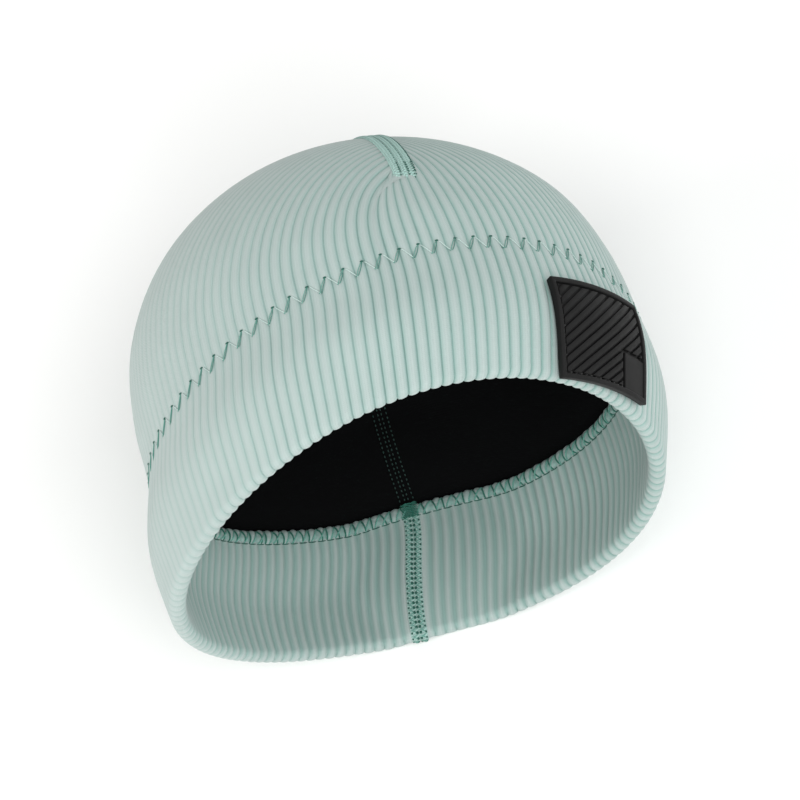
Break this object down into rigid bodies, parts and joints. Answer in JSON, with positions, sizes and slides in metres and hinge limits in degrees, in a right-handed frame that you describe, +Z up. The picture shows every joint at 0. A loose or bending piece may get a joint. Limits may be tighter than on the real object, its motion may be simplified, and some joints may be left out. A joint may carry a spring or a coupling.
{
  "type": "neoprene beanie",
  "caption": "Pull-on beanie of foam-backed rib knit with a dark lining, a deep turned-in hem, an overlocked edge, raised seams and a moulded rubber patch, lying on its back.",
  "frame": {"origin": "middle of the bounding box's underside, on the surface that the hat's back rests on", "axes": "+Z up, from the back of the head to the front; +Y from the opening to the crown; +X to the wearer's left"},
  "size_m": [0.171, 0.1368, 0.1789],
  "materials": {
    "rib_knit": "matt rib knit, foam-backed",
    "lining_jersey": "matt smooth jersey",
    "thread": "polyester thread, soft sheen",
    "patch_rubber": "moulded, satin"
  },
  "bodies": {
    "root": {"ribbed_shell": "rib_knit", "lining": "lining_jersey", "hem_overlock": "thread", "crown_seam": "thread", "back_seam": "thread", "lining_seam": "thread", "patch": "patch_rubber"}
  },
  "joints": []
}
